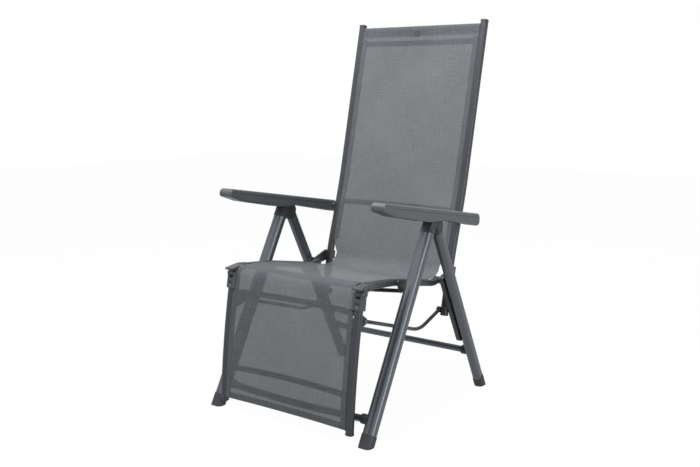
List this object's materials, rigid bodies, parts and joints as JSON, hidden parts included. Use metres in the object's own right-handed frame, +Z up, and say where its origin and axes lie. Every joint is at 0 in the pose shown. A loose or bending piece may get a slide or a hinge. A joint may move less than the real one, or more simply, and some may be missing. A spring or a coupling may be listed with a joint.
{
  "type": "reclining garden armchair",
  "caption": "Garden armchair with a high mesh back that reclines, armrests that slide over the front legs, and a footrest that rises as the back goes down.",
  "frame": {"origin": "middle of the overall bounding box, on the floor", "axes": "+Z up, -Y the way the sitter faces, +X towards the sitter's left hand"},
  "size_m": [0.63, 0.7714, 1.2188],
  "materials": {
    "leg_metal": "satin powder coat",
    "frame_metal": "satin powder coat",
    "dark_plastic": "fine grain",
    "grey_plastic": "fine grain",
    "shoe_plastic": "smooth",
    "bolt_steel": "zinc plated",
    "cloth": "open plastic mesh weave"
  },
  "bodies": {
    "frame": {"front_leg_left": "leg_metal", "front_leg_right": "leg_metal", "front_foot_left": "dark_plastic", "front_foot_right": "dark_plastic", "leg_head_left": "dark_plastic", "leg_head_right": "dark_plastic", "front_crossbar": "frame_metal", "front_bushes": "dark_plastic", "rear_leg_left": "frame_metal", "rear_leg_right": "frame_metal", "rear_foot_left": "dark_plastic", "rear_foot_right": "dark_plastic", "rear_boss_left": "dark_plastic", "rear_boss_right": "dark_plastic", "slide_rail_left": "dark_plastic", "slide_rail_right": "dark_plastic", "rear_crossbar": "frame_metal", "rear_bushes": "dark_plastic", "seat_rail_left": "frame_metal", "seat_rail_right": "frame_metal", "pivot_bracket_left": "frame_metal", "pivot_bracket_right": "frame_metal", "front_knuckle_left": "grey_plastic", "front_knuckle_right": "grey_plastic", "seat_drop_bar": "frame_metal", "seat_front_bar": "frame_metal", "seat_cloth": "cloth", "slide_shoe_left": "shoe_plastic", "slide_shoe_right": "shoe_plastic", "seat_bolts": "bolt_steel", "knee_pins": "bolt_steel"},
    "back": {"back_tube_left": "frame_metal", "back_tube_right": "frame_metal", "back_clamp_left": "dark_plastic", "back_clamp_right": "dark_plastic", "back_top_caps": "dark_plastic", "back_low_caps": "dark_plastic", "back_lower_bar": "frame_metal", "back_upper_bar": "frame_metal", "back_top_bar": "frame_metal", "back_cloth": "cloth", "arm_pins": "bolt_steel"},
    "armrests": {"arm_shell_left": "grey_plastic", "arm_shell_right": "grey_plastic", "arm_tray_left": "grey_plastic", "arm_tray_right": "grey_plastic", "arm_cap_left": "grey_plastic", "arm_cap_right": "grey_plastic"},
    "footrest": {"foot_tube_left": "frame_metal", "foot_tube_right": "frame_metal", "foot_fork_left": "grey_plastic", "foot_fork_right": "grey_plastic", "link_ears": "frame_metal", "foot_caps": "dark_plastic", "foot_upper_bar": "frame_metal", "foot_lower_bar": "frame_metal", "foot_cloth": "cloth", "link_pins": "bolt_steel"},
    "links": {"link_rod_left": "frame_metal", "link_rod_right": "frame_metal"}
  },
  "joints": [
    {"name": "recline", "type": "hinge", "parent": "frame", "child": "back", "pos_m": [0, 0.09199, 0.397], "axis": [1, 0, 0], "range_deg": [-40, 0]},
    {"name": "arm_recline", "type": "hinge", "parent": "back", "child": "armrests", "pos_m": [0, 0.21299, 0.583], "axis": [1, 0, 0], "range_deg": [0, 23.1]},
    {"name": "footrest_raise", "type": "hinge", "parent": "frame", "child": "footrest", "pos_m": [0, -0.32401, 0.428], "axis": [1, 0, 0], "range_deg": [-51, 0]},
    {"name": "link_raise", "type": "hinge", "parent": "footrest", "child": "links", "pos_m": [0, -0.29201, 0.341], "axis": [1, 0, 0], "range_deg": [0, 49.4]}
  ],
  "couplings": [
    {"joint": "arm_recline", "follows": "recline", "ratio": -0.575},
    {"joint": "footrest_raise", "follows": "recline", "ratio": 1.2725},
    {"joint": "link_raise", "follows": "recline", "ratio": -1.233}
  ]
}
